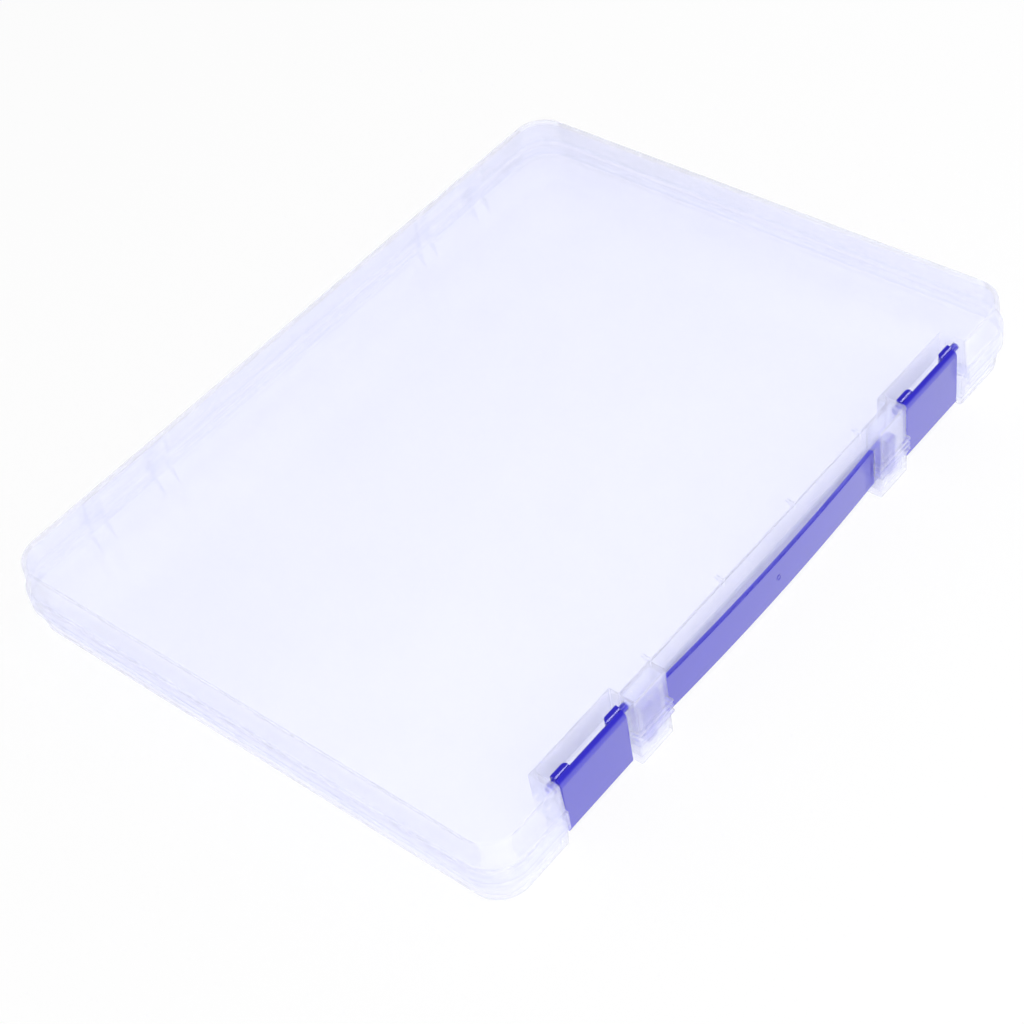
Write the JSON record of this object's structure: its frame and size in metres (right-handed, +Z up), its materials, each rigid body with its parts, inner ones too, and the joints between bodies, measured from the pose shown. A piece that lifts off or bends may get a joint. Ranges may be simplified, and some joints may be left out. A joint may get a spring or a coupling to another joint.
{
  "type": "art supply box",
  "caption": "Flat translucent carrying case for paper and art supplies, with a rear-hinged lid, front snap latches that swing up and a flexible strap handle.",
  "frame": {"origin": "centre of the case in plan, on its flat underside", "axes": "+X along the long side to the right, +Y from the latches at the front to the hinges at the rear, +Z up out of the lid"},
  "size_m": [0.316, 0.2444, 0.0335],
  "materials": {
    "clear_plastic": "translucent, lightly frosted",
    "blue_plastic": "glossy"
  },
  "bodies": {
    "tray": {"base_tray": "clear_plastic"},
    "lid": {"lid_shell": "clear_plastic"},
    "left_latch": {"latch_left": "blue_plastic"},
    "right_latch": {"latch_right": "blue_plastic"},
    "handle": {"carry_strap": "blue_plastic"}
  },
  "joints": [
    {"name": "lid_hinge", "type": "hinge", "parent": "tray", "child": "lid", "pos_m": [0, 0.1224, 0.01465], "axis": [-1, 0, 0], "range_deg": [0, 145]},
    {"name": "left_latch_hinge", "type": "hinge", "parent": "lid", "child": "left_latch", "pos_m": [-0.1025, -0.1122, 0.0284], "axis": [-1, 0, 0], "range_deg": [0, 150]},
    {"name": "right_latch_hinge", "type": "hinge", "parent": "lid", "child": "right_latch", "pos_m": [0.1025, -0.1122, 0.0284], "axis": [-1, 0, 0], "range_deg": [0, 150]},
    {"name": "handle_pull", "type": "slide", "parent": "lid", "child": "handle", "axis": [0, -1, 0], "range_m": [0, 0.025], "stiffness_N_per_m": 200, "deforming": ["carry_strap"]}
  ]
}
